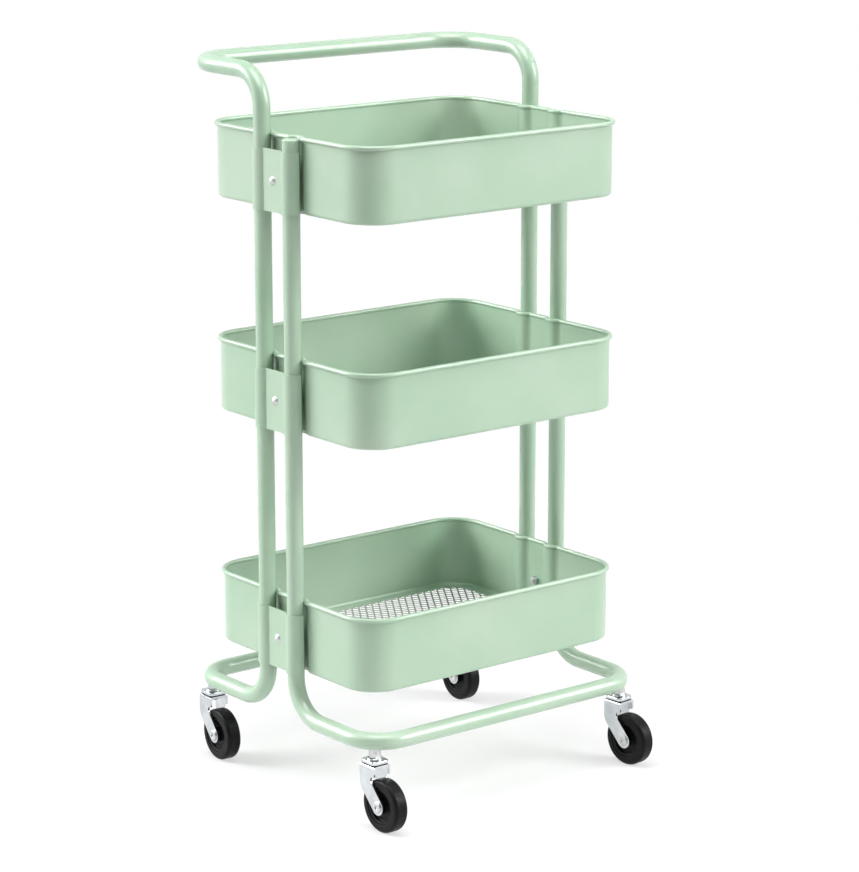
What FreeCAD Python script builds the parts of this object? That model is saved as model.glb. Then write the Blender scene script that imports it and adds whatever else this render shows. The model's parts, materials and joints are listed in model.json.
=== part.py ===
import FreeCAD, Part
import Sketcher
import math
import os
from FreeCAD import Placement, Rotation, Vector

# Driving sizes: millimetres, degrees where the name says angle, and plain counts
SIZES = {
    # Baskets: pressed sheet trays with a rolled rim and two tube grooves in each end wall
    "basket_length": 388,
    "basket_width": 317,
    "basket_height": 88,
    "basket_corner": 45,
    "sheet_thickness": 0.8,
    "rim_overhang": 3.5,
    "rim_bead": 5.5,
    "rim_lip": 5,
    "bottom_radius": 4,
    "groove_lip": 12,
    "groove_clearance": 3.5,
    "rim_clearance": 0.25,
    "floor_flange": 15,
    "floor_corner": 30,
    # Mesh floors: flat nets welded under the floor flange
    "mesh_thickness": 1,
    "mesh_overlap": 6,
    "mesh_strand": 3,
    "mesh_columns": 17,
    "mesh_rows": 17,
    # Round tube frame
    "tube_diameter": 20,
    "tube_wall": 1,
    "upright_standoff": 7.5,
    "upright_spacing": 55,
    "base_to_basket": 51,
    "lower_tier_pitch": 283,
    "upper_tier_pitch": 253,
    "base_reach": 173,
    "base_leg_bend": 45,
    "base_corner": 42,
    "handle_reach": 171,
    "handle_rise": 67,
    "handle_leg_bend": 40,
    "handle_corner": 50,
    "handle_joint_drop": 6,
    "sleeve_length": 60,
    "sleeve_wall": 1,
    "tube_fit": 0.1,
    "front_top_drop": 5,
    "plug_depth": 12,
    "plug_rise": 2,
    "plug_edge": 1.8,
    # Clamp plates, their coach bolts and nuts
    "clamp_height": 71,
    "clamp_thickness": 1.5,
    "clamp_flat_offset": 4.5,
    "clamp_tail": 3,
    "bolt_diameter": 6,
    "bolt_head_diameter": 11,
    "bolt_head_height": 3,
    "bolt_neck": 6,
    "bolt_tail": 2,
    "bolt_chamfer": 0.75,
    "bolt_clearance": 0.3,
    "nut_width": 10,
    "nut_height": 5,
    "thread_fit": 0.05,
    # Casters
    "wheel_diameter": 62,
    "tyre_width": 18,
    "tyre_section": 9,
    "tyre_shoulder": 4,
    "tyre_lip": 1,
    "tyre_fit": 0.05,
    "hub_rim_width": 16,
    "hub_rim_section": 4,
    "hub_edge": 1,
    "hub_web_width": 8,
    "hub_boss_diameter": 17,
    "hub_boss_width": 19,
    "axle_diameter": 8,
    "axle_head_diameter": 13,
    "axle_head_height": 2,
    "axle_head_edge": 1,
    "axle_dimple_diameter": 5,
    "axle_dimple_depth": 1,
    "running_fit": 0.05,
    "fork_side_gap": 0.3,
    "fork_sheet": 2.2,
    "fork_trail": 19,
    "fork_eye": 19,
    "fork_arm_angle": 47,
    "fork_elbow": 20,
    "fork_skirt": 12.5,
    "fork_skirt_edge": 2,
    "fork_notch": 4,
    "fork_bend": 3,
    "fork_inner_bend": 2,
    "crown_clearance": 12,
    "crown_thickness": 2.5,
    "crown_depth": 26,
    "ring_thickness": 1.6,
    "ring_inset": 0.6,
    "cap_thickness": 3.5,
    "cap_corner": 6,
    "cap_edge": 1.2,
    "cap_boss_diameter": 19,
    "cap_boss_height": 2.1,
    "cap_boss_edge": 1.5,
    "swivel_gap": 0.3,
    "stem_diameter": 8,
    "stem_head_diameter": 14,
    "stem_head_height": 3.5,
    "stem_head_edge": 2,
    "stem_tip_edge": 1,
    "lock_nut_width": 13,
    "lock_nut_height": 6,
    "bush_diameter": 13,
    "bush_depth": 14,
    "bush_exposed": 2,
    # Rest angles of the casters about their stems
    "front_left_angle": 1,
    "front_right_angle": 5,
    "rear_left_angle": -4,
    "rear_right_angle": -2,
    # How far a cutting shape runs past what it cuts
    "cut_overrun": 5,
}

QUARTER_TURN = 90
HALF_TURN = 180
HEX_SIDES = 6
DIAGONAL_SHARE = math.sqrt(0.5)
TOLERANCE = Part.Precision.approximation()
BAD_STATES = {"Invalid", "Error"}

doc = FreeCAD.newDocument("rolling_cart")
sheet = doc.addObject("Spreadsheet::Sheet", "Sizes")
for row, (alias, number) in enumerate(SIZES.items(), start=1):
    sheet.set(f"A{row}", alias)
    sheet.set(f"B{row}", str(number))
    sheet.setAlias(f"B{row}", alias)
doc.recompute()

exported = []


def value(expression):
    """Number that a sheet expression gives."""
    return float(sheet.evalExpression(expression))


# Lengths that several pieces share, all from the sheet
HALF_LENGTH = value("Sizes.basket_length / 2 - Sizes.rim_overhang")
HALF_WIDTH = value("Sizes.basket_width / 2 - Sizes.rim_overhang")
WALL_CORNER = value("Sizes.basket_corner - Sizes.rim_overhang")
TUBE_RADIUS = value("Sizes.tube_diameter / 2")
UPRIGHT_X = HALF_LENGTH + sheet.upright_standoff
UPRIGHT_Y = sheet.upright_spacing / 2
GROOVE_RADIUS = TUBE_RADIUS + sheet.groove_clearance
BEAD_RADIUS = value("Sizes.rim_bead / 2")
WHEEL_RADIUS = value("Sizes.wheel_diameter / 2")
FORK_GAP = "(Sizes.hub_boss_width + 2 * Sizes.fork_side_gap)"
FORK_WIDTH = "(Sizes.hub_boss_width + 2 * Sizes.fork_side_gap + 2 * Sizes.fork_sheet)"

# Heights above the floor, from the wheels up
CROWN_Z = sheet.wheel_diameter + sheet.crown_clearance
RING_Z = CROWN_Z + sheet.crown_thickness
CAP_Z = RING_Z + sheet.ring_thickness
LOCK_NUT_Z = CAP_Z + sheet.cap_thickness + sheet.cap_boss_height + sheet.swivel_gap
BUSH_Z = LOCK_NUT_Z + sheet.lock_nut_height
BASE_Z = BUSH_Z + sheet.bush_exposed + TUBE_RADIUS
BOTTOM_Z = BASE_Z + sheet.base_to_basket
MIDDLE_Z = BOTTOM_Z + sheet.lower_tier_pitch
TOP_Z = MIDDLE_Z + sheet.upper_tier_pitch
RIM_Z = TOP_Z + sheet.basket_height
HANDLE_Z = RIM_Z + sheet.handle_rise
BASE_JOINT_Z = BOTTOM_Z + sheet.clamp_height / 2
FRONT_TOP_Z = RIM_Z - sheet.front_top_drop
HANDLE_JOINT_Z = RIM_Z - sheet.handle_joint_drop
TIERS = {"bottom": BOTTOM_Z, "middle": MIDDLE_Z, "top": TOP_Z}
ENDS = {"left": -1, "right": 1}

# Caster stems stand under the middle of each bent corner of the base
CORNER_INSET = sheet.base_corner * (1 - DIAGONAL_SHARE)
STEM_X = UPRIGHT_X - CORNER_INSET
STEM_Y = sheet.base_reach - CORNER_INSET
CASTERS = {
    "front_left": (-STEM_X, -STEM_Y, sheet.front_left_angle),
    "front_right": (STEM_X, -STEM_Y, sheet.front_right_angle),
    "rear_left": (-STEM_X, STEM_Y, sheet.rear_left_angle),
    "rear_right": (STEM_X, STEM_Y, sheet.rear_right_angle),
}


def front_reach(angle):
    """Furthest a front wheel reaches forwards of the cart's middle at its rest angle."""
    turn = math.radians(angle)
    flat_radius = WHEEL_RADIUS - sheet.tyre_shoulder
    flat_width = sheet.tyre_width / 2 - sheet.tyre_shoulder
    along = (sheet.fork_trail + flat_radius) * math.cos(turn)
    return STEM_Y + along + flat_width * abs(math.sin(turn)) + sheet.tyre_shoulder


# The origin is on the floor, halfway between the furthest reach of the front wheels and of the handle
FRONT_REACH = max(front_reach(sheet.front_left_angle), front_reach(sheet.front_right_angle))
REAR_REACH = sheet.handle_reach + TUBE_RADIUS
DEPTH_SHIFT = (FRONT_REACH - REAR_REACH) / 2


def place(item, x=0, y=0, z=0, rotation=None):
    """Put a piece at a point of the cart, counted from the cart's own middle."""
    item.Placement = Placement(Vector(x, y + DEPTH_SHIFT, z), rotation or Rotation())
    return item


def keep(item, label):
    """Name a piece and list it for export."""
    item.Label = label
    exported.append(item)
    return item


def about_z(angle):
    return Rotation(Vector(0, 0, 1), angle)


# Sketch helpers

def new_body(name):
    return doc.addObject("PartDesign::Body", name)


def new_sketch(body, name, role, offset=None):
    """Sketch on one of the body's own origin planes, raised by an expression if given."""
    sketch = body.newObject("Sketcher::SketchObject", name)
    plane = next(item for item in body.Origin.OriginFeatures if item.Role == role)
    sketch.AttachmentSupport = (plane, [""])
    sketch.MapMode = "FlatFace"
    if offset:
        sketch.setExpression("AttachmentOffset.Base.z", offset)
    return sketch


def bind(sketch, expression, kind, *points):
    """Dimension a sketch with a sheet expression."""
    index = sketch.addConstraint(Sketcher.Constraint(kind, *points, value(expression)))
    sketch.setExpression(f"Constraints[{index}]", expression)


def centred_circle(sketch, radius):
    circle = sketch.addGeometry(Part.Circle(Vector(), Vector(0, 0, 1), value(radius)))
    sketch.addConstraint(Sketcher.Constraint("Coincident", circle, 3, -1, 1))
    bind(sketch, radius, "Radius", circle)


def centred_square(sketch, width):
    rounded_rectangle(sketch, width, width, None)


def rounded_rectangle(sketch, length, width, corner):
    """Rectangle about the sketch's origin, with tangent corner arcs where a radius is given."""
    across = value(length) / 2
    up = value(width) / 2
    radius = value(corner) if corner else 0
    corners = [(1, -1, -QUARTER_TURN), (1, 1, 0), (-1, 1, QUARTER_TURN), (-1, -1, HALF_TURN)]
    centres = [Vector(x * (across - radius), y * (up - radius), 0) for x, y, start in corners]
    sides = []
    arcs = []
    for index, (x, y, start) in enumerate(corners):
        begin = math.radians(start + QUARTER_TURN)
        leave = centres[index] + Vector(math.cos(begin), math.sin(begin), 0) * radius
        arrive = centres[(index + 1) % len(corners)] + Vector(math.cos(begin), math.sin(begin), 0) * radius
        sides.append(sketch.addGeometry(Part.LineSegment(leave, arrive)))
        if corner:
            circle = Part.Circle(centres[index], Vector(0, 0, 1), radius)
            arcs.append(sketch.addGeometry(Part.ArcOfCircle(circle, math.radians(start), begin)))
    for index, side in enumerate(sides):
        following = (index + 1) % len(sides)
        if corner:
            sketch.addConstraint(Sketcher.Constraint("Tangent", arcs[index], 2, side, 1))
            sketch.addConstraint(Sketcher.Constraint("Tangent", side, 2, arcs[following], 1))
        else:
            sketch.addConstraint(Sketcher.Constraint("Coincident", side, 2, sides[following], 1))
        direction = "Horizontal" if index % 2 else "Vertical"
        sketch.addConstraint(Sketcher.Constraint(direction, side))
    for arc in arcs[1:]:
        sketch.addConstraint(Sketcher.Constraint("Equal", arcs[0], arc))
    if corner:
        bind(sketch, corner, "Radius", arcs[0])
        sketch.addConstraint(Sketcher.Constraint("Symmetric", arcs[0], 3, arcs[2], 3, -1, 1))
    else:
        sketch.addConstraint(Sketcher.Constraint("Symmetric", sides[0], 1, sides[2], 1, -1, 1))
    bind(sketch, length, "DistanceX", sides[2], 1, sides[0], 1)
    bind(sketch, width, "DistanceY", sides[3], 1, sides[1], 1)


def rounded_polygon(corners):
    """Closed outline through (x, y, radius) corners, as line segments and tangent arcs."""
    points = [Vector(x, y, 0) for x, y, radius in corners]
    count = len(points)
    cuts = []
    for index, (x, y, radius) in enumerate(corners):
        here = points[index]
        back = (points[index - 1] - here).normalize()
        ahead = (points[(index + 1) % count] - here).normalize()
        half_angle = back.getAngle(ahead) / 2
        reach = radius / math.tan(half_angle)
        middle = (back + ahead).normalize() * (radius / math.sin(half_angle) - radius)
        cuts.append((here + back * reach, here + middle, here + ahead * reach))
    outline = []
    for index, (start, middle, end) in enumerate(cuts):
        following = cuts[(index + 1) % count][0]
        if corners[index][2] > 0:
            outline.append(Part.ArcOfCircle(start, middle, end))
        if end.distanceToPoint(following) > TOLERANCE:
            outline.append(Part.LineSegment(end, following))
    return outline


def pad(body, sketch, length, symmetric=False):
    feature = body.newObject("PartDesign::Pad", "Pad")
    feature.Profile = sketch
    feature.setExpression("Length", length)
    if symmetric:
        feature.SideType = "Symmetric"
    return feature


def pocket(body, sketch, length=None, upward=False):
    """Cut of a given length, or right through both ways where no length is given."""
    feature = body.newObject("PartDesign::Pocket", "Pocket")
    feature.Profile = sketch
    if length:
        feature.setExpression("Length", length)
        feature.Reversed = upward
    else:
        feature.Type = "ThroughAll"
        feature.SideType = "Symmetric"
    return feature


def revolve(body, sketch, axis):
    feature = body.newObject("PartDesign::Revolution", "Revolution")
    feature.Profile = sketch
    feature.ReferenceAxis = (sketch, [axis])
    return feature


def fillet(body, base, radius, wanted):
    """Round the edges of the last feature that a test picks."""
    doc.recompute()
    names = [f"Edge{index}" for index, edge in enumerate(base.Shape.Edges, start=1) if wanted(edge)]
    feature = body.newObject("PartDesign::Fillet", "Fillet")
    feature.Base = (base, names)
    feature.setExpression("Radius", radius)
    return feature


def level_edge(edge, height):
    """Whether both ends of an edge lie at a height."""
    return all(abs(vertex.Z - height) < TOLERANCE for vertex in edge.Vertexes)


# Baskets

def basket_outline(half_length, half_width, corner, groove, lip):
    """Tray outline from above: rounded rectangle whose ends dip round the two uprights."""
    across = UPRIGHT_X - half_length + lip
    rise = math.sqrt((groove + lip) ** 2 - across ** 2)
    half = []
    cursor = Vector(0, -half_width, 0)

    def line_to(x, y):
        nonlocal cursor
        end = Vector(x, y, 0)
        half.append(Part.LineSegment(cursor, end))
        cursor = end

    def arc_to(centre, end):
        nonlocal cursor
        radius = (cursor - centre).Length
        middle = ((cursor - centre) + (end - centre)).normalize() * radius
        half.append(Part.ArcOfCircle(cursor, centre + middle, end))
        cursor = end

    line_to(half_length - corner, -half_width)
    arc_to(Vector(half_length - corner, corner - half_width, 0), Vector(half_length, corner - half_width, 0))
    for side in (-1, 1):
        tube = Vector(UPRIGHT_X, side * UPRIGHT_Y, 0)
        entry = Vector(half_length - lip, tube.y - rise, 0)
        leave = Vector(half_length - lip, tube.y + rise, 0)
        line_to(half_length, entry.y)
        arc_to(entry, tube + (entry - tube).normalize() * groove)
        arc_to(tube, tube + (leave - tube).normalize() * groove)
        arc_to(leave, Vector(half_length, leave.y, 0))
    line_to(half_length, half_width - corner)
    arc_to(Vector(half_length - corner, half_width - corner, 0), Vector(half_length - corner, half_width, 0))
    line_to(0, half_width)
    other = []
    for piece in half:
        turned = piece.copy()
        turned.rotate(Placement(Vector(), about_z(HALF_TURN)))
        other.append(turned)
    return half + other


def make_basket(label, height):
    body = new_body(label)
    wall_height = "(Sizes.basket_height - Sizes.rim_bead / 2)"
    outside = new_sketch(body, "Outside", "XY_Plane")
    outside.addGeometry(basket_outline(HALF_LENGTH, HALF_WIDTH, WALL_CORNER, GROOVE_RADIUS, sheet.groove_lip))
    pad(body, outside, wall_height)

    gauge = sheet.sheet_thickness
    inside = new_sketch(body, "Inside", "XY_Plane", "Sizes.sheet_thickness")
    inside.addGeometry(basket_outline(HALF_LENGTH - gauge, HALF_WIDTH - gauge, WALL_CORNER - gauge,
                                      GROOVE_RADIUS + gauge, sheet.groove_lip - gauge))
    hollow = pocket(body, inside, "Sizes.basket_height", upward=True)
    floor_bend = fillet(body, hollow, "Sizes.bottom_radius - Sizes.sheet_thickness",
                        lambda edge: level_edge(edge, gauge))
    fillet(body, floor_bend, "Sizes.bottom_radius", lambda edge: level_edge(edge, 0))

    opening = new_sketch(body, "FloorOpening", "XY_Plane")
    margin = "2 * (Sizes.rim_overhang + Sizes.floor_flange)"
    rounded_rectangle(opening, f"Sizes.basket_length - {margin}", f"Sizes.basket_width - {margin}",
                      "Sizes.floor_corner")
    pocket(body, opening)

    holes = new_sketch(body, "BoltHoles", "YZ_Plane")
    radius = "Sizes.bolt_diameter / 2 + Sizes.bolt_clearance"
    centre = Vector(0, sheet.clamp_height / 2, 0)
    circle = holes.addGeometry(Part.Circle(centre, Vector(0, 0, 1), value(radius)))
    bind(holes, radius, "Radius", circle)
    bind(holes, "Sizes.clamp_height / 2", "DistanceY", -1, 1, circle, 3)
    holes.addConstraint(Sketcher.Constraint("PointOnObject", circle, 3, -2))
    pocket(body, holes)

    bead_offset = sheet.rim_overhang - BEAD_RADIUS
    path = new_sketch(body, "RimPath", "XY_Plane", wall_height)
    bead_groove = TUBE_RADIUS + sheet.rim_clearance + BEAD_RADIUS
    path.addGeometry(basket_outline(HALF_LENGTH + bead_offset, HALF_WIDTH + bead_offset,
                                    WALL_CORNER + bead_offset, bead_groove, sheet.rim_lip))
    section = new_sketch(body, "RimSection", "YZ_Plane")
    centre = Vector(-HALF_WIDTH - bead_offset, sheet.basket_height - BEAD_RADIUS, 0)
    circle = section.addGeometry(Part.Circle(centre, Vector(0, 0, 1), BEAD_RADIUS))
    bind(section, "Sizes.rim_bead / 2", "Radius", circle)
    bind(section, "Sizes.basket_width / 2 - Sizes.rim_bead / 2", "DistanceX", circle, 3, -1, 1)
    bind(section, "Sizes.basket_height - Sizes.rim_bead / 2", "DistanceY", -1, 1, circle, 3)
    rim = body.newObject("PartDesign::AdditivePipe", "Rim")
    rim.Profile = section
    rim.Spine = (path, [])
    rim.Mode = "Standard"
    return keep(place(body, z=height), label)


# Mesh floors

def make_mesh(label, height):
    """Flat net of staggered diamonds with a plain border, welded under the floor flange."""
    margin = sheet.rim_overhang + sheet.floor_flange
    open_length = sheet.basket_length - 2 * margin
    open_width = sheet.basket_width - 2 * margin
    lap = sheet.mesh_overlap
    corner = sheet.floor_corner + lap
    across = open_length / 2 + lap
    up = open_width / 2 + lap
    border = rounded_polygon([(across, -up, corner), (across, up, corner),
                              (-across, up, corner), (-across, -up, corner)])
    column_pitch = open_length / sheet.mesh_columns
    row_pitch = open_width / (sheet.mesh_rows + 1)
    slant = math.hypot(column_pitch / 2, row_pitch)
    half_x = column_pitch / 2 - sheet.mesh_strand / 2 * slant / row_pitch
    half_y = row_pitch - sheet.mesh_strand / 2 * slant / (column_pitch / 2)
    wires = [Part.Wire([piece.toShape() for piece in border])]
    for row in range(int(sheet.mesh_rows)):
        shifted = row % 2
        for column in range(int(sheet.mesh_columns) - shifted):
            x = (column + (1 + shifted) / 2) * column_pitch - open_length / 2
            y = (row + 1) * row_pitch - open_width / 2
            in_corner = max(0, abs(x) + half_x - across + corner), max(0, abs(y) + half_y - up + corner)
            if math.hypot(*in_corner) > corner - lap:
                continue
            tips = [Vector(x + half_x, y, 0), Vector(x, y + half_y, 0),
                    Vector(x - half_x, y, 0), Vector(x, y - half_y, 0)]
            wires.append(Part.makePolygon(tips + tips[:1]))
    net = Part.makeFace(wires, "Part::FaceMakerBullseye")
    item = doc.addObject("Part::Feature", label)
    item.Shape = net.extrude(Vector(0, 0, sheet.mesh_thickness))
    return keep(place(item, z=height - sheet.mesh_thickness), label)


# Tube frame

def straight_tube(label, x, y, low, high, outer, wall):
    """Round tube from one height to another."""
    outside = doc.addObject("Part::Cylinder", label + "_outside")
    inside = doc.addObject("Part::Cylinder", label + "_inside")
    outside.setExpression("Radius", outer)
    inside.setExpression("Radius", f"{outer} - {wall}")
    outside.Height = high - low
    inside.Height = high - low
    tube = doc.addObject("Part::Cut", label)
    tube.Base = outside
    tube.Tool = inside
    return place(tube, x, y, low)


def u_path(reach, height, leg_bend, corner, joint, forward):
    """Centre line of a bent U: up one leg, along its arm, across the bar and back to the other leg."""
    upward = 1 if joint > height else -1
    points = []
    for side in (-1, 1):
        x = side * UPRIGHT_X
        foot = Vector(x, forward * UPRIGHT_Y, joint)
        knee_centre = Vector(x, forward * (UPRIGHT_Y + leg_bend), height + upward * leg_bend)
        knee = [knee_centre - Vector(0, forward * leg_bend, 0),
                knee_centre - Vector(0, forward, upward) * (leg_bend * DIAGONAL_SHARE),
                knee_centre - Vector(0, 0, upward * leg_bend)]
        bend_centre = Vector(side * (UPRIGHT_X - corner), forward * (reach - corner), height)
        bend = [bend_centre + Vector(side * corner, 0, 0),
                bend_centre + Vector(side, forward, 0) * (corner * DIAGONAL_SHARE),
                bend_centre + Vector(0, forward * corner, 0)]
        run = [foot] + knee + bend
        points.append(run if side < 0 else run[::-1])
    first, second = points
    line = [Part.LineSegment(first[0], first[1]), Part.Arc(*first[1:4]),
            Part.LineSegment(first[3], first[4]), Part.Arc(*first[4:7]),
            Part.LineSegment(first[6], second[0]), Part.Arc(*second[0:3]),
            Part.LineSegment(second[2], second[3]), Part.Arc(*second[3:6]),
            Part.LineSegment(second[5], second[6])]
    return Part.Wire([piece.toShape() for piece in line])


def bent_tube(label, path):
    """Hollow tube swept along a bent centre line."""
    line = doc.addObject("Part::Feature", label + "_line")
    line.Shape = path
    edges = [f"Edge{index + 1}" for index in range(len(path.Edges))]
    start = path.Vertexes[0].Point
    solids = []
    for part, radius in (("outside", "Sizes.tube_diameter / 2"),
                         ("inside", "Sizes.tube_diameter / 2 - Sizes.tube_wall")):
        circle = doc.addObject("Part::Circle", f"{label}_{part}_circle")
        circle.setExpression("Radius", radius)
        circle.Placement = Placement(start, Rotation())
        sweep = doc.addObject("Part::Sweep", f"{label}_{part}")
        sweep.Sections = [circle]
        sweep.Spine = (line, edges)
        sweep.Solid = True
        solids.append(sweep)
    tube = doc.addObject("Part::Cut", label + "_tube")
    tube.Base, tube.Tool = solids
    return tube


def make_base(label, forward):
    """Base loop with holes in the underside of its corners for the caster bushes."""
    path = u_path(sheet.base_reach, BASE_Z, sheet.base_leg_bend, sheet.base_corner, BASE_JOINT_Z, forward)
    tube = bent_tube(label, path)
    drills = []
    for side in ENDS.values():
        drill = doc.addObject("Part::Cylinder", label + "_drill")
        drill.setExpression("Radius", "Sizes.bush_diameter / 2 + Sizes.tube_fit")
        drill.setExpression("Height", "Sizes.tube_diameter / 2 + Sizes.cut_overrun")
        drill.Placement = Placement(Vector(side * STEM_X, forward * STEM_Y,
                                           BASE_Z - TUBE_RADIUS - sheet.cut_overrun), Rotation())
        drills.append(drill)
    holes = doc.addObject("Part::MultiFuse", label + "_drills")
    holes.Shapes = drills
    loop = doc.addObject("Part::Cut", label)
    loop.Base = tube
    loop.Tool = holes
    return keep(place(loop), label)


def make_handle():
    path = u_path(sheet.handle_reach, HANDLE_Z, sheet.handle_leg_bend, sheet.handle_corner, HANDLE_JOINT_Z, 1)
    return keep(place(bent_tube("push_handle", path)), "push_handle")


def make_uprights():
    """Four straight tubes: the front pair ends near the rim, the rear pair at the handle's joint."""
    tops = {"front": (-1, FRONT_TOP_Z), "rear": (1, HANDLE_JOINT_Z)}
    for row, (forward, top) in tops.items():
        for end, side in ENDS.items():
            label = f"{row}_{end}_upright"
            tube = straight_tube(label, side * UPRIGHT_X, forward * UPRIGHT_Y, BASE_JOINT_Z, top,
                                 "Sizes.tube_diameter / 2", "Sizes.tube_wall")
            keep(tube, label)


def copies(label, seed, places):
    """One node of separate, like solids: a seed shape at several placements."""
    solids = []
    for placement in places:
        solid = seed.Shape.copy()
        solid.Placement = placement.multiply(seed.Shape.Placement)
        solids.append(solid)
    group = doc.addObject("Part::Feature", label)
    group.Shape = Part.makeCompound(solids)
    return keep(place(group), label)


def make_sleeves():
    """Inner sleeves that join the uprights to the base loops and to the handle."""
    joints = [(side, forward, BASE_JOINT_Z) for side in (-1, 1) for forward in (-1, 1)]
    joints += [(side, 1, HANDLE_JOINT_Z) for side in (-1, 1)]
    outer = "(Sizes.tube_diameter / 2 - Sizes.tube_wall - Sizes.tube_fit)"
    seed = straight_tube("sleeve_seed", 0, 0, 0, sheet.sleeve_length, outer, "Sizes.sleeve_wall")
    seed.Placement = Placement()
    doc.recompute()
    half = sheet.sleeve_length / 2
    copies("tube_sleeves", seed,
           [Placement(Vector(side * UPRIGHT_X, forward * UPRIGHT_Y, z - half), Rotation())
            for side, forward, z in joints])


def make_plugs():
    """Domed plugs in the open tops of the front uprights."""
    seed = new_body("plug_seed")
    outline = new_sketch(seed, "Outline", "XZ_Plane")
    stem = TUBE_RADIUS - sheet.tube_wall - sheet.tube_fit
    outline.addGeometry(rounded_polygon([
        (0, -sheet.plug_depth, 0), (stem, -sheet.plug_depth, 0), (stem, 0, 0),
        (TUBE_RADIUS, 0, 0), (TUBE_RADIUS, sheet.plug_rise, sheet.plug_edge), (0, sheet.plug_rise, 0)]))
    revolve(seed, outline, "V_Axis")
    doc.recompute()
    copies("upright_plugs", seed, [Placement(Vector(side * UPRIGHT_X, -UPRIGHT_Y, FRONT_TOP_Z), Rotation())
                                   for side in (-1, 1)])


# Clamp plates and their fasteners

def make_clamp(label, side, height):
    """Plate that wraps the outside of both uprights of one end, drawn for the right end."""
    body = new_body(label)
    inner = TUBE_RADIUS + sheet.tube_fit
    outer = inner + sheet.clamp_thickness
    flat_in = sheet.clamp_flat_offset
    flat_out = flat_in + sheet.clamp_thickness
    tail = -sheet.clamp_tail

    def wing(radius, flat, sign):
        """Ends and middle of one wing's arc, from its tail to the flat."""
        tube = Vector(UPRIGHT_X, sign * UPRIGHT_Y, 0)
        foot = tube + Vector(flat, -sign * math.sqrt(radius ** 2 - flat ** 2), 0)
        side_point = tube + Vector(0, sign * radius, 0)
        crest = tube + ((foot - tube).normalize() + Vector(0, sign, 0)).normalize() * radius
        crest = crest if crest.x > UPRIGHT_X else tube * 2 - crest
        return side_point + Vector(tail, 0, 0), side_point, crest, foot

    outline = new_sketch(body, "Outline", "XY_Plane")
    chain = []
    for sign in (1, -1):
        out_tail, out_side, out_crest, out_foot = wing(outer, flat_out, sign)
        in_tail, in_side, in_crest, in_foot = wing(inner, flat_in, sign)
        chain += [Part.LineSegment(out_tail, out_side), Part.ArcOfCircle(out_side, out_crest, out_foot),
                  Part.LineSegment(in_tail, in_side), Part.ArcOfCircle(in_side, in_crest, in_foot),
                  Part.LineSegment(out_tail, in_tail)]
    for radius, flat in ((outer, flat_out), (inner, flat_in)):
        chain.append(Part.LineSegment(wing(radius, flat, 1)[3], wing(radius, flat, -1)[3]))
    outline.addGeometry(chain)
    pad(body, outline, "Sizes.clamp_height")
    hole = new_sketch(body, "BoltHole", "YZ_Plane")
    half = sheet.bolt_neck / 2 + sheet.tube_fit
    middle = sheet.clamp_height / 2
    hole.addGeometry(rounded_polygon([(half, middle - half, 0), (half, middle + half, 0),
                                      (-half, middle + half, 0), (-half, middle - half, 0)]))
    pocket(body, hole)
    turn = about_z(0 if side > 0 else HALF_TURN)
    return keep(place(body, z=height, rotation=turn), label)


def end_places(x):
    """Placements on the bolt axes of all clamps, x out from the middle, axis pointing inwards."""
    spots = []
    for height in TIERS.values():
        for side in ENDS.values():
            spin = Rotation(Vector(0, 0, 1), Vector(-side, 0, 0))
            spots.append(Placement(Vector(side * x, 0, height + sheet.clamp_height / 2), spin))
    return spots


def make_fasteners():
    """Coach bolts through the clamps and basket ends, with hexagon nuts inside the baskets."""
    head_x = UPRIGHT_X + sheet.clamp_flat_offset + sheet.clamp_thickness
    nut_x = HALF_LENGTH - sheet.sheet_thickness
    length = head_x - nut_x + sheet.nut_height + sheet.bolt_tail
    radius = sheet.bolt_diameter / 2
    bolt = new_body("bolt_seed")
    outline = new_sketch(bolt, "Outline", "XZ_Plane")
    head = sheet.bolt_head_diameter / 2
    rise = sheet.bolt_head_height
    dome = (head ** 2 + rise ** 2) / (2 * rise)
    turn = math.asin(head / dome) / 2
    chamfer = sheet.bolt_chamfer
    shoulder = Vector(dome * math.sin(turn), dome - rise - dome * math.cos(turn), 0)
    outline.addGeometry([
        Part.ArcOfCircle(Vector(0, -rise, 0), shoulder, Vector(head, 0, 0)),
        Part.LineSegment(Vector(head, 0, 0), Vector(radius, 0, 0)),
        Part.LineSegment(Vector(radius, 0, 0), Vector(radius, length - chamfer, 0)),
        Part.LineSegment(Vector(radius, length - chamfer, 0), Vector(radius - chamfer, length, 0)),
        Part.LineSegment(Vector(radius - chamfer, length, 0), Vector(0, length, 0)),
        Part.LineSegment(Vector(0, length, 0), Vector(0, -rise, 0))])
    revolve(bolt, outline, "V_Axis")
    neck = new_sketch(bolt, "Neck", "XY_Plane")
    centred_square(neck, "Sizes.bolt_neck")
    pad(bolt, neck, "Sizes.clamp_thickness")
    nut = hex_nut("nut_seed", "Sizes.nut_width", "Sizes.nut_height", "Sizes.bolt_diameter")
    doc.recompute()
    copies("clamp_bolts", bolt, end_places(head_x))
    copies("clamp_nuts", nut, end_places(nut_x))


def hex_nut(name, width, height, thread):
    prism = doc.addObject("Part::Prism", name + "_block")
    prism.Polygon = HEX_SIDES
    prism.setExpression("Circumradius", f"{width} / 2 / cos({HALF_TURN / HEX_SIDES})")
    prism.setExpression("Height", height)
    bore = doc.addObject("Part::Cylinder", name + "_bore")
    bore.setExpression("Radius", f"{thread} / 2 + Sizes.thread_fit")
    bore.setExpression("Height", height)
    nut = doc.addObject("Part::Cut", name)
    nut.Base = prism
    nut.Tool = bore
    return nut


# Casters, drawn about the stem's axis with the floor at zero and the trail towards the front

def stem_places(z):
    return [Placement(Vector(x, y, z), Rotation()) for x, y, angle in CASTERS.values()]


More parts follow.
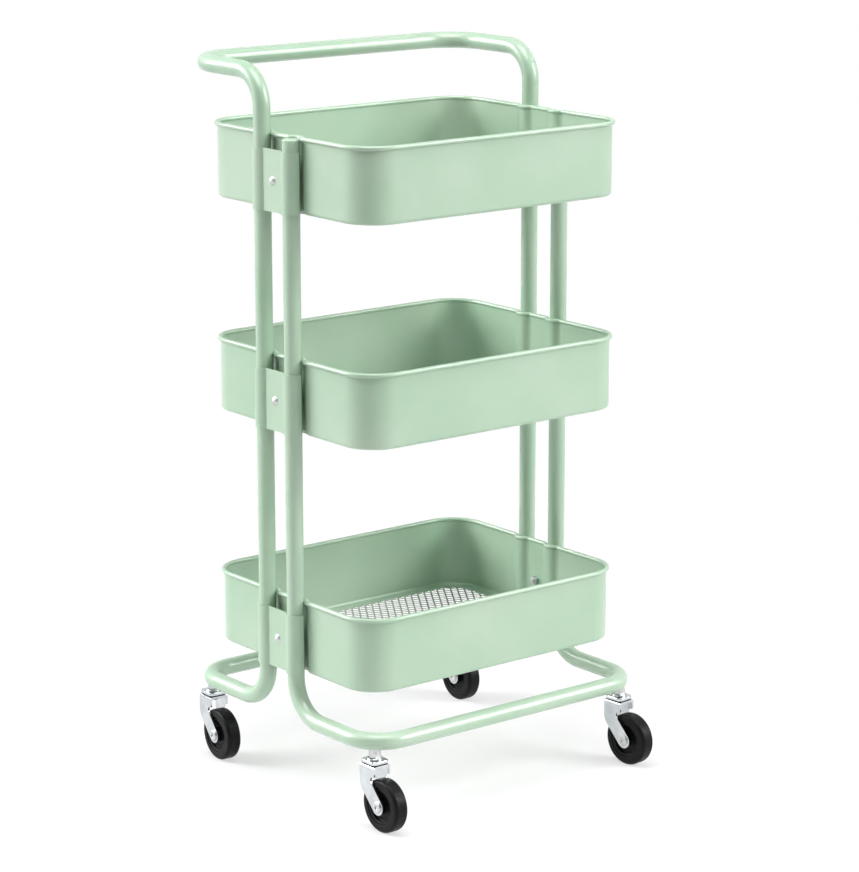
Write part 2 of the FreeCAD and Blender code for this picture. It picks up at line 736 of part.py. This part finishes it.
def make_caster_fixings():
    """Threaded bushes welded into the base corners, and the lock nuts under them."""
    bush = new_body("bush_seed")
    ring = new_sketch(bush, "Ring", "XY_Plane")
    centred_circle(ring, "Sizes.bush_diameter / 2")
    centred_circle(ring, "Sizes.stem_diameter / 2 + Sizes.thread_fit")
    pad(bush, ring, "Sizes.bush_depth + Sizes.bush_exposed")
    nut = hex_nut("lock_nut_seed", "Sizes.lock_nut_width", "Sizes.lock_nut_height", "Sizes.stem_diameter")
    doc.recompute()
    copies("caster_bushes", bush, stem_places(BUSH_Z))
    copies("caster_lock_nuts", nut, stem_places(LOCK_NUT_Z))


def make_stem(label):
    """Stem with the rivet head that holds the fork up against its bearing ring."""
    body = new_body(label)
    outline = new_sketch(body, "Outline", "XZ_Plane")
    radius = sheet.stem_diameter / 2
    head = sheet.stem_head_diameter / 2
    seat = CROWN_Z - sheet.swivel_gap
    top = BUSH_Z + sheet.bush_depth
    outline.addGeometry(rounded_polygon([
        (0, seat - sheet.stem_head_height, 0), (head, seat - sheet.stem_head_height, sheet.stem_head_edge),
        (head, seat, 0), (radius, seat, 0), (radius, top, sheet.stem_tip_edge), (0, top, 0)]))
    revolve(body, outline, "V_Axis")
    return body


def make_fork(label):
    """Pressed fork: a flat crown with two bent legs that sweep back to the axle."""
    body = new_body(label)
    half = sheet.crown_depth / 2
    eye = sheet.fork_eye / 2
    slope = math.radians(sheet.fork_arm_angle)
    arm = Vector(-math.cos(slope), -math.sin(slope), 0)
    below = Vector(math.sin(slope), -math.cos(slope), 0)
    axle = Vector(-sheet.fork_trail, WHEEL_RADIUS, 0)
    low_end = axle + (arm + below) * eye
    high_end = axle + (arm - below) * eye
    elbow_z = low_end.y + (half - low_end.x) * math.tan(slope)
    skirt_z = RING_Z - sheet.fork_skirt
    notch_y = high_end.x + (skirt_z - high_end.y) / math.tan(slope)
    side = new_sketch(body, "Side", "YZ_Plane")
    side.addGeometry(rounded_polygon([
        (half, RING_Z, 0), (-half, RING_Z, 0), (-half, skirt_z, sheet.fork_skirt_edge),
        (notch_y, skirt_z, sheet.fork_notch), (high_end.x, high_end.y, eye), (low_end.x, low_end.y, eye),
        (half, elbow_z, sheet.fork_elbow)]))
    block = pad(body, side, FORK_WIDTH, symmetric=True)
    fillet(body, block, "Sizes.fork_bend",
           lambda edge: level_edge(edge, RING_Z) and edge.BoundBox.YLength > half)
    gap = new_sketch(body, "Gap", "XZ_Plane")
    across = value(FORK_GAP) / 2
    bend = sheet.fork_inner_bend
    gap.addGeometry(rounded_polygon([(across, -sheet.cut_overrun, 0), (across, CROWN_Z, bend),
                                     (-across, CROWN_Z, bend), (-across, -sheet.cut_overrun, 0)]))
    pocket(body, gap)
    eyes = new_sketch(body, "Eyes", "YZ_Plane")
    radius = "Sizes.axle_diameter / 2 + Sizes.running_fit"
    circle = eyes.addGeometry(Part.Circle(axle, Vector(0, 0, 1), value(radius)))
    bind(eyes, radius, "Radius", circle)
    bind(eyes, "Sizes.fork_trail", "DistanceX", circle, 3, -1, 1)
    bind(eyes, "Sizes.wheel_diameter / 2", "DistanceY", -1, 1, circle, 3)
    pocket(body, eyes)
    hole = new_sketch(body, "StemHole", "XY_Plane")
    centred_circle(hole, "Sizes.stem_diameter / 2 + Sizes.running_fit")
    pocket(body, hole)
    return body


def crown_plate(body, inset):
    """Outline of the crown seen from above, drawn in by an inset."""
    sketch = new_sketch(body, "Plate", "XY_Plane")
    rounded_rectangle(sketch, f"{FORK_WIDTH} - 2 * {inset}", f"Sizes.crown_depth - 2 * {inset}",
                      f"Sizes.cap_corner - {inset}")
    centred_circle(sketch, "Sizes.stem_diameter / 2 + Sizes.running_fit")
    return sketch


def make_ring(label):
    """Bearing ring between the crown and its cap."""
    body = new_body(label)
    pad(body, crown_plate(body, "Sizes.ring_inset"), "Sizes.ring_thickness")
    return body


def make_cap(label):
    """Pressed cap over the crown, with a raised boss round the stem."""
    body = new_body(label)
    pad(body, crown_plate(body, "0"), "Sizes.cap_thickness")
    boss = new_sketch(body, "Boss", "XY_Plane")
    centred_circle(boss, "Sizes.cap_boss_diameter / 2")
    centred_circle(boss, "Sizes.stem_diameter / 2 + Sizes.running_fit")
    raised = pad(body, boss, "Sizes.cap_thickness + Sizes.cap_boss_height")
    top = sheet.cap_thickness + sheet.cap_boss_height
    domed = fillet(body, raised, "Sizes.cap_boss_edge",
                   lambda edge: level_edge(edge, top) and edge.BoundBox.XLength > sheet.stem_head_diameter)
    fillet(body, domed, "Sizes.cap_edge",
           lambda edge: level_edge(edge, sheet.cap_thickness) and len(edge.Vertexes) > 1)
    return body


def make_axle(label):
    """Riveted axle with a dimpled head outside each fork leg."""
    body = new_body(label)
    outline = new_sketch(body, "Outline", "XY_Plane")
    radius = sheet.axle_diameter / 2
    head = sheet.axle_head_diameter / 2
    inner = value(FORK_WIDTH) / 2
    outer = inner + sheet.axle_head_height
    dimple = sheet.axle_dimple_diameter / 2
    floor = outer - sheet.axle_dimple_depth
    edge = sheet.axle_head_edge
    outline.addGeometry(rounded_polygon([
        (-floor, 0, 0), (-floor, dimple, 0), (-outer, dimple, 0), (-outer, head, edge), (-inner, head, 0),
        (-inner, radius, 0), (inner, radius, 0), (inner, head, 0), (outer, head, edge), (outer, dimple, 0),
        (floor, dimple, 0), (floor, 0, 0)]))
    revolve(body, outline, "H_Axis")
    return body


def make_tyre(label):
    """Solid tyre with rounded shoulders."""
    body = new_body(label)
    outline = new_sketch(body, "Outline", "XY_Plane")
    half = sheet.tyre_width / 2
    inner = WHEEL_RADIUS - sheet.tyre_section
    lip = sheet.tyre_lip
    outline.addGeometry(rounded_polygon([
        (-half, inner, lip), (half, inner, lip), (half, WHEEL_RADIUS, sheet.tyre_shoulder),
        (-half, WHEEL_RADIUS, sheet.tyre_shoulder)]))
    revolve(body, outline, "H_Axis")
    return body


def make_hub(label):
    """Moulded hub: rim under the tyre, thinner web, and a boss that runs on the axle."""
    body = new_body(label)
    outline = new_sketch(body, "Outline", "XY_Plane")
    rim = sheet.hub_rim_width / 2
    web = sheet.hub_web_width / 2
    boss = sheet.hub_boss_width / 2
    bore = sheet.axle_diameter / 2 + sheet.running_fit
    boss_radius = sheet.hub_boss_diameter / 2
    outer = WHEEL_RADIUS - sheet.tyre_section - sheet.tyre_fit
    inner = outer - sheet.hub_rim_section
    soft = sheet.hub_edge
    right = [(boss, bore, 0), (boss, boss_radius, soft), (web, boss_radius, soft), (web, inner, soft),
             (rim, inner, soft), (rim, outer, 0)]
    left = [(-x, y, radius) for x, y, radius in reversed(right)]
    outline.addGeometry(rounded_polygon(right + left))
    revolve(body, outline, "H_Axis")
    return body


def make_casters():
    """Stem, bearing ring, cap, fork, axle, tyre and hub for each corner."""
    wheel_spot = Vector(0, -sheet.fork_trail, WHEEL_RADIUS)
    pieces = {
        "stem": (make_stem, Vector()),
        "fork": (make_fork, Vector()),
        "bearing_ring": (make_ring, Vector(0, 0, RING_Z)),
        "cap": (make_cap, Vector(0, 0, CAP_Z)),
        "axle": (make_axle, wheel_spot),
        "tyre": (make_tyre, wheel_spot),
        "hub": (make_hub, wheel_spot),
    }
    for corner, (x, y, angle) in CASTERS.items():
        turn = about_z(angle)
        for piece, (make, spot) in pieces.items():
            label = f"{corner}_caster_{piece}"
            turned = turn.multVec(spot)
            keep(place(make(label), x + turned.x, y + turned.y, turned.z, turn), label)


for tier, level in TIERS.items():
    make_basket(f"{tier}_basket", level)
    make_mesh(f"{tier}_mesh_floor", level)
    for end, side in ENDS.items():
        make_clamp(f"{tier}_{end}_clamp", side, level)
make_fasteners()
make_uprights()
make_base("front_base_loop", -1)
make_base("rear_base_loop", 1)
make_handle()
make_sleeves()
make_plugs()
make_caster_fixings()
make_casters()
doc.recompute()

# Nothing is written unless every object is sound
for item in doc.Objects:
    if BAD_STATES & set(item.State):
        raise RuntimeError(f"{item.Label} failed: {item.State}")
for item in exported:
    if item.Shape.isNull() or not item.Shape.isValid():
        raise RuntimeError(f"{item.Label} has no sound shape")
    if not item.Shape.Solids:
        raise RuntimeError(f"{item.Label} holds no solid")

os.makedirs("parts", exist_ok=True)
for item in exported:
    item.Shape.exportStep(f"parts/{item.Label}.step")
print(f"{len(exported)} pieces written, origin shifted {DEPTH_SHIFT:.3f} mm along the depth")
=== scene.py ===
import json
import math

import bmesh
import bpy
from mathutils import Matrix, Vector


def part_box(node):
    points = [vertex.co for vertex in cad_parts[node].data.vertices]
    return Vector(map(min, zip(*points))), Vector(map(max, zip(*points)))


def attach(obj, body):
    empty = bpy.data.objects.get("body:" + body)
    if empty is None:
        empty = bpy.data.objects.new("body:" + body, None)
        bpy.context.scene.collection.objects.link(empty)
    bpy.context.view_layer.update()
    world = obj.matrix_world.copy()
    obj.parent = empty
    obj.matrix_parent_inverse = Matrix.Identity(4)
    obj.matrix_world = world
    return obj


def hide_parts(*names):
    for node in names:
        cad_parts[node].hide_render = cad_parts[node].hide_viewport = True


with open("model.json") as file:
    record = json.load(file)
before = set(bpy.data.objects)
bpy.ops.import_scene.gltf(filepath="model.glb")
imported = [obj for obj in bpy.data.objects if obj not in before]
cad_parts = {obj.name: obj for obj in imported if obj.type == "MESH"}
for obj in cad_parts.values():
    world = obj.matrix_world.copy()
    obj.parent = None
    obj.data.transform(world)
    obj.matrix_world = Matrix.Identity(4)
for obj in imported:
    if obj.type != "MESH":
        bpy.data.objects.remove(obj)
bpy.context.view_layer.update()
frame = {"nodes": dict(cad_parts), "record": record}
nodes = frame["nodes"]
scene = bpy.context.scene

MM = 0.001
TIERS = ("bottom", "middle", "top")

# The cart's middle: halfway between the base loops, at the underside of their tubes
front_low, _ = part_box("front_base_loop")
_, rear_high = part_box("rear_base_loop")
BASE_MIDDLE = Vector((0, (front_low.y + rear_high.y) / 2, 0))
BASE_UNDERSIDE = BASE_MIDDLE + Vector((0, 0, front_low.z))

# Tones of each finish, a dark and a light one that a cloudy pattern drifts between
MINT_TONES = ((0.315, 0.480, 0.335), (0.390, 0.520, 0.390))
MESH_TONES = ((0.30, 0.355, 0.31), (0.36, 0.41, 0.37))
ZINC_TONES = ((0.58, 0.59, 0.59), (0.68, 0.69, 0.69))
CHROME_TONES = ((0.56, 0.59, 0.62), (0.70, 0.72, 0.74))
RING_TONES = ((0.004, 0.004, 0.004), (0.008, 0.008, 0.008))
TYRE_TONES = ((0.004, 0.004, 0.005), (0.008, 0.008, 0.009))
HUB_TONES = ((0.004, 0.004, 0.005), (0.009, 0.009, 0.010))
FLOOR_TONES = ((0.90, 0.90, 0.90), (0.92, 0.92, 0.92))

# Smoothest and roughest gloss of each finish
PAINT_GLOSS = (0.44, 0.54)
ZINC_GLOSS = (0.36, 0.48)
CHROME_GLOSS = (0.08, 0.16)
RING_GLOSS = (0.40, 0.55)
TYRE_GLOSS = (0.34, 0.50)
HUB_GLOSS = (0.30, 0.44)
FLOOR_ROUGHNESS = 0.9

# Sheen of the paint, with its clear coat, and of the plain surfaces
PAINT_SPECULAR = 1.0
COAT_WEIGHT = 0.6
COAT_ROUGHNESS = 0.10
PLASTIC_SPECULAR = 0.13
FLOOR_SPECULAR = 0.1

# Patterns of tone and gloss: features in a metre, and detail
PAINT_CLOUDS = (9, 4)
PAINT_PATCHES = (35, 3)
METAL_CLOUDS = (60, 3)
METAL_PATCHES = (180, 4)
PLASTIC_CLOUDS = (70, 3)
PLASTIC_PATCHES = (260, 3)
FLOOR_CLOUDS = (3, 2)

# Relief of each finish: features in a metre, detail and strength, and how deep it goes
ORANGE_PEEL = (520, 2, 0.10)
ZINC_GRAIN = (900, 2, 0.10)
CHROME_WAVES = (70, 2, 0.35)
RING_GRAIN = (1400, 3, 0.15)
TYRE_GRAIN = (1200, 3, 0.20)
HUB_GRAIN = (1600, 3, 0.12)
PAINT_DEPTH = 0.4 * MM
METAL_DEPTH = 0.4 * MM
PLASTIC_DEPTH = 0.3 * MM

# The stretch of a pattern's values that is used
PATTERN_LOW = 0.3
PATTERN_HIGH = 0.7

# Mesh floors: a finer net than the solids' own, in the same outline
NET_CORNER = 36 * MM
NET_PITCH_X = 10.4 * MM
NET_PITCH_Y = 15.7 * MM
NET_STRAND = 2.1 * MM
NET_THICKNESS = 0.9 * MM
NET_BORDER = 4 * MM
NET_WAVE_SHARE = 0.12
CLIP_SAMPLES = 400
CORNER_STEPS = 10

# Section of a strand, in shares of its width and thickness
STRAND_SECTION = [(-0.5, -0.25), (-0.25, -0.5), (0.25, -0.5), (0.5, -0.25),
                  (0.5, 0.25), (0.25, 0.5), (-0.25, 0.5), (-0.5, 0.25)]

# Camera fitted to the photograph: place from the base, direction, and focal length in the frame's pixels
CAMERA_PLACE = BASE_UNDERSIDE + Vector((-2.198, -2.790, 1.151))
CAMERA_TURN = math.radians(38.5)
CAMERA_PITCH = math.radians(13.35)
FOCAL_PIXELS = 1465.5 * 2.1
FRAME_HEIGHT = 872
SENSOR_HEIGHT = 36
VIEW_DISTANCE = 100

# Stage: a white floor that shows the cart's shadow near it, and a studio with one dark side
FLOOR_HALF = 12
FLOOR_NEAR = 0.35
FLOOR_FAR = 1.3
FLOOR_GLOW = 0.55
AMBIENT = 0.17
MIRRORED = 0.9
DARK_SIDE = (-0.62, -0.78, 0.10)
DARK_LEVEL = 0.15
DARK_START = 0.2
DARK_FULL = 0.9

# Softboxes: place, aim, width in metres, power in watts and spread in degrees
SOFTBOXES = {
    "left_softbox": ((-2.4, 2.55, 1.95), (0, 0, -0.1), 2.0, 30.5, 70),
    "right_softbox": ((2.17, -2.75, 1.95), (0, 0, -0.1), 2.0, 24.5, 70),
    "top_softbox": ((-0.4, -0.55, 3.0), (0, 0, 0.6), 1.8, 62, 180),
}


# Materials

def new_material(name):
    material = bpy.data.materials.new(name)
    material.use_nodes = True
    tree = material.node_tree
    shader = next(item for item in tree.nodes if item.type == "BSDF_PRINCIPLED")
    return material, tree, shader


def add(tree, kind, **inputs):
    """Node of a kind, with values set on its sockets by name."""
    item = tree.nodes.new(kind)
    for name, value in inputs.items():
        item.inputs[name.replace("_", " ")].default_value = value
    return item


def noise(tree, scale, detail):
    """Noise over the object's own coordinates; the scale counts features in a metre."""
    place = tree.nodes.new("ShaderNodeTexCoord")
    pattern = add(tree, "ShaderNodeTexNoise", Scale=scale, Detail=detail)
    tree.links.new(place.outputs["Object"], pattern.inputs["Vector"])
    return pattern.outputs["Fac"]


def spread(tree, source, low, high, start=PATTERN_LOW, end=PATTERN_HIGH):
    """A pattern's value stretched between two numbers."""
    item = add(tree, "ShaderNodeMapRange", From_Min=start, From_Max=end, To_Min=low, To_Max=high)
    tree.links.new(source, item.inputs["Value"])
    return item.outputs["Result"]


def combine(tree, operation, first, second):
    """One number from two sockets."""
    item = tree.nodes.new("ShaderNodeMath")
    item.operation = operation
    tree.links.new(first, item.inputs[0])
    tree.links.new(second, item.inputs[1])
    return item.outputs["Value"]


def tint(tree, source, tones):
    """Colour that drifts between two tones with a pattern."""
    ramp = tree.nodes.new("ShaderNodeValToRGB")
    stops = ramp.color_ramp.elements
    for stop, tone, position in zip(stops, tones, (PATTERN_LOW, PATTERN_HIGH)):
        stop.color = (*tone, 1)
        stop.position = position
    tree.links.new(source, ramp.inputs["Fac"])
    return ramp.outputs["Color"]


def bump(tree, shader, relief, depth):
    """Fine relief on a shader, from features in a metre, detail and strength."""
    scale, detail, strength = relief
    item = add(tree, "ShaderNodeBump", Strength=strength, Distance=depth)
    tree.links.new(noise(tree, scale, detail), item.inputs["Height"])
    tree.links.new(item.outputs["Normal"], shader.inputs["Normal"])


def paint(name, tones):
    """Semi-gloss powder coat: cloudy tone, fine orange peel, uneven gloss."""
    material, tree, shader = new_material(name)
    tree.links.new(tint(tree, noise(tree, *PAINT_CLOUDS), tones), shader.inputs["Base Color"])
    tree.links.new(spread(tree, noise(tree, *PAINT_PATCHES), *PAINT_GLOSS), shader.inputs["Roughness"])
    bump(tree, shader, ORANGE_PEEL, PAINT_DEPTH)
    shader.inputs["Specular IOR Level"].default_value = PAINT_SPECULAR
    shader.inputs["Coat Weight"].default_value = COAT_WEIGHT
    shader.inputs["Coat Roughness"].default_value = COAT_ROUGHNESS
    return material


def metal(name, tones, gloss, relief):
    """Plated metal: tone and gloss drift a little, and the surface is faintly wavy."""
    material, tree, shader = new_material(name)
    shader.inputs["Metallic"].default_value = 1
    tree.links.new(tint(tree, noise(tree, *METAL_CLOUDS), tones), shader.inputs["Base Color"])
    tree.links.new(spread(tree, noise(tree, *METAL_PATCHES), *gloss), shader.inputs["Roughness"])
    bump(tree, shader, relief, METAL_DEPTH)
    return material


def plastic(name, tones, gloss, relief):
    """Moulded plastic or rubber with a fine grain and a low sheen."""
    material, tree, shader = new_material(name)
    shader.inputs["Specular IOR Level"].default_value = PLASTIC_SPECULAR
    tree.links.new(tint(tree, noise(tree, *PLASTIC_CLOUDS), tones), shader.inputs["Base Color"])
    tree.links.new(spread(tree, noise(tree, *PLASTIC_PATCHES), *gloss), shader.inputs["Roughness"])
    bump(tree, shader, relief, PLASTIC_DEPTH)
    return material


materials = {
    "mint_paint": paint("mint_paint", MINT_TONES),
    "mesh_paint": paint("mesh_paint", MESH_TONES),
    "zinc_steel": metal("zinc_steel", ZINC_TONES, ZINC_GLOSS, ZINC_GRAIN),
    "chrome": metal("chrome", CHROME_TONES, CHROME_GLOSS, CHROME_WAVES),
    "ring_plastic": plastic("ring_plastic", RING_TONES, RING_GLOSS, RING_GRAIN),
    "plug_plastic": paint("plug_plastic", MINT_TONES),
    "tyre_rubber": plastic("tyre_rubber", TYRE_TONES, TYRE_GLOSS, TYRE_GRAIN),
    "hub_plastic": plastic("hub_plastic", HUB_TONES, HUB_GLOSS, HUB_GRAIN),
}

slots = {item["node"]: item["material_slot"] for item in frame["record"]["subparts"]}
for name, item in nodes.items():
    item.data.materials.clear()
    item.data.materials.append(materials[slots[name]])


# Mesh floors

def inside_x(y, half_length, half_width):
    """Half the net's length at a place across its width, its corners being round."""
    past = abs(y) - (half_width - NET_CORNER)
    if past <= 0:
        return half_length
    return half_length - NET_CORNER + math.sqrt(max(0, NET_CORNER ** 2 - past ** 2))


def clip(start, end, half_length, half_width):
    """The stretch of a strand's line that lies within the net's outline, or None."""
    samples = [start.lerp(end, step / CLIP_SAMPLES) for step in range(CLIP_SAMPLES + 1)]
    kept = [point for point in samples if abs(point.x) <= inside_x(point.y, half_length, half_width)]
    return (kept[0], kept[-1]) if len(kept) > 1 else None


def add_strand(mesh, start, end, level, wave):
    """Flat strand with chamfered edges that weaves a little over and under those it crosses."""
    along = (end - start).normalized()
    across = Vector((-along.y, along.x, 0)) * NET_STRAND
    up = Vector((0, 0, NET_THICKNESS))
    step = math.hypot(NET_PITCH_X, NET_PITCH_Y) / 2
    count = max(1, round((end - start).length / step))
    rings = []
    for index in range(count + 1):
        lift = wave * (NET_WAVE_SHARE if index % 2 else -NET_WAVE_SHARE)
        middle = start.lerp(end, index / count) + Vector((0, 0, level)) + up * lift
        rings.append([mesh.verts.new(middle + across * u + up * v) for u, v in STRAND_SECTION])
    sides = len(STRAND_SECTION)
    for first, second in zip(rings, rings[1:]):
        for side in range(sides):
            after = (side + 1) % sides
            mesh.faces.new((first[side], first[after], second[after], second[side]))
    mesh.faces.new(rings[0][::-1])
    mesh.faces.new(rings[-1])


def corner_loop(level, half_length, half_width, inset):
    """Points round the net's outline, moved inwards by an inset."""
    quarter = math.radians(90)
    loop = []
    for corner, (sign_x, sign_y) in enumerate([(1, 1), (-1, 1), (-1, -1), (1, -1)]):
        centre = Vector((sign_x * (half_length - NET_CORNER), sign_y * (half_width - NET_CORNER), level))
        for step in range(CORNER_STEPS + 1):
            angle = quarter * (corner + step / CORNER_STEPS)
            loop.append(centre + Vector((math.cos(angle), math.sin(angle), 0)) * (NET_CORNER - inset))
    return loop


def add_border(mesh, level, half_length, half_width):
    """Flat strip round the net, welded under the flange."""
    outer = corner_loop(level, half_length, half_width, 0)
    inner = corner_loop(level, half_length, half_width, NET_BORDER)
    half = Vector((0, 0, NET_THICKNESS / 2))
    rings = []
    for loop, lift in ((outer, half), (outer, -half), (inner, -half), (inner, half)):
        rings.append([mesh.verts.new(point + lift) for point in loop])
    count = len(outer)
    for index, first in enumerate(rings):
        second = rings[(index + 1) % len(rings)]
        for step in range(count):
            after = (step + 1) % count
            mesh.faces.new((first[step], second[step], second[after], first[after]))


def build_net(tier):
    """Net of two sets of slanting strands with a border, in place of a mesh floor's solid."""
    low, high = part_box(f"{tier}_mesh_floor")
    half_length = (high.x - low.x) / 2
    half_width = (high.y - low.y) / 2
    level = (low.z + high.z) / 2
    mesh = bmesh.new()
    lean = half_width * NET_PITCH_X / NET_PITCH_Y
    lines = int((half_length + lean) / NET_PITCH_X) + 1
    for direction in (-1, 1):
        for line in range(-lines, lines + 1):
            x = line * NET_PITCH_X
            ends = clip(Vector((x - direction * lean, -half_width, 0)),
                        Vector((x + direction * lean, half_width, 0)), half_length, half_width)
            if ends:
                add_strand(mesh, *ends, level, direction)
    add_border(mesh, level, half_length, half_width)
    bmesh.ops.recalc_face_normals(mesh, faces=mesh.faces)
    data = bpy.data.meshes.new(f"{tier}_net")
    mesh.to_mesh(data)
    mesh.free()
    data.materials.append(materials["mesh_paint"])
    item = bpy.data.objects.new(f"{tier}_net", data)
    item.location = BASE_MIDDLE
    scene.collection.objects.link(item)
    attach(item, "frame")
    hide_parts(f"{tier}_mesh_floor")


for tier in TIERS:
    build_net(tier)


# Stage, lights and camera

def seen_directly(tree, *rays):
    """One where a ray of the named kinds looks, else zero."""
    path = tree.nodes.new("ShaderNodeLightPath")
    result = path.outputs[rays[0]]
    for ray in rays[1:]:
        result = combine(tree, "MAXIMUM", result, path.outputs[ray])
    return result


def make_floor():
    """Pale floor: lit plainly near the cart, where its shadow falls, and pure white further out."""
    corners = [(-FLOOR_HALF, -FLOOR_HALF, 0), (FLOOR_HALF, -FLOOR_HALF, 0),
               (FLOOR_HALF, FLOOR_HALF, 0), (-FLOOR_HALF, FLOOR_HALF, 0)]
    data = bpy.data.meshes.new("floor")
    data.from_pydata(corners, [], [(0, 1, 2, 3)])
    item = bpy.data.objects.new("floor", data)
    scene.collection.objects.link(item)
    material, tree, shader = new_material("floor")
    tree.links.new(tint(tree, noise(tree, *FLOOR_CLOUDS), FLOOR_TONES), shader.inputs["Base Color"])
    shader.inputs["Roughness"].default_value = FLOOR_ROUGHNESS
    shader.inputs["Specular IOR Level"].default_value = FLOOR_SPECULAR
    place = tree.nodes.new("ShaderNodeTexCoord")
    radius = tree.nodes.new("ShaderNodeVectorMath")
    radius.operation = "LENGTH"
    tree.links.new(place.outputs["Object"], radius.inputs[0])
    glow = spread(tree, radius.outputs["Value"], FLOOR_GLOW, 1, FLOOR_NEAR, FLOOR_FAR)
    seen = seen_directly(tree, "Is Camera Ray", "Is Glossy Ray", "Is Transmission Ray")
    white = add(tree, "ShaderNodeEmission", Strength=1.0)
    mixed = tree.nodes.new("ShaderNodeMixShader")
    tree.links.new(combine(tree, "MULTIPLY", seen, glow), mixed.inputs["Fac"])
    tree.links.new(shader.outputs["BSDF"], mixed.inputs[1])
    tree.links.new(white.outputs["Emission"], mixed.inputs[2])
    output = next(node for node in tree.nodes if node.type == "OUTPUT_MATERIAL")
    tree.links.new(mixed.outputs["Shader"], output.inputs["Surface"])
    data.materials.append(material)


def make_light(name, place, target, width, power, spread_angle):
    """Square softbox that lights the cart but isn't seen itself."""
    data = bpy.data.lights.new(name, "AREA")
    data.shape = "SQUARE"
    data.size = width
    data.energy = power
    data.spread = math.radians(spread_angle)
    item = bpy.data.objects.new(name, data)
    item.location = place
    item.rotation_euler = (Vector(target) - Vector(place)).to_track_quat("-Z", "Y").to_euler()
    item.visible_camera = False
    scene.collection.objects.link(item)


def make_world():
    """White room that is dark on one side; seen directly, it is white all round."""
    world = bpy.data.worlds.new("studio")
    world.use_nodes = True
    scene.world = world
    tree = world.node_tree
    shader = next(item for item in tree.nodes if item.type == "BACKGROUND")
    shader.inputs["Color"].default_value = (1, 1, 1, 1)
    direction = tree.nodes.new("ShaderNodeTexCoord")
    facing = tree.nodes.new("ShaderNodeVectorMath")
    facing.operation = "DOT_PRODUCT"
    facing.inputs[1].default_value = DARK_SIDE
    tree.links.new(direction.outputs["Generated"], facing.inputs[0])
    side = spread(tree, facing.outputs["Value"], 1, DARK_LEVEL, DARK_START, DARK_FULL)
    level = spread(tree, seen_directly(tree, "Is Glossy Ray"), AMBIENT, MIRRORED, 0, 1)
    lit = combine(tree, "MULTIPLY", side, level)
    strength = combine(tree, "MAXIMUM", lit, seen_directly(tree, "Is Camera Ray", "Is Transmission Ray"))
    tree.links.new(strength, shader.inputs["Strength"])


def make_camera():
    data = bpy.data.cameras.new("camera")
    data.sensor_fit = "VERTICAL"
    data.sensor_height = SENSOR_HEIGHT
    data.lens = FOCAL_PIXELS * SENSOR_HEIGHT / FRAME_HEIGHT
    data.clip_end = VIEW_DISTANCE
    item = bpy.data.objects.new("camera", data)
    item.location = CAMERA_PLACE
    item.rotation_euler = (math.radians(90) - CAMERA_PITCH, 0, -CAMERA_TURN)
    scene.collection.objects.link(item)
    scene.camera = item


make_floor()
make_world()
for name, values in SOFTBOXES.items():
    make_light(name, *values)
make_camera()
scene.view_settings.view_transform = "Standard"
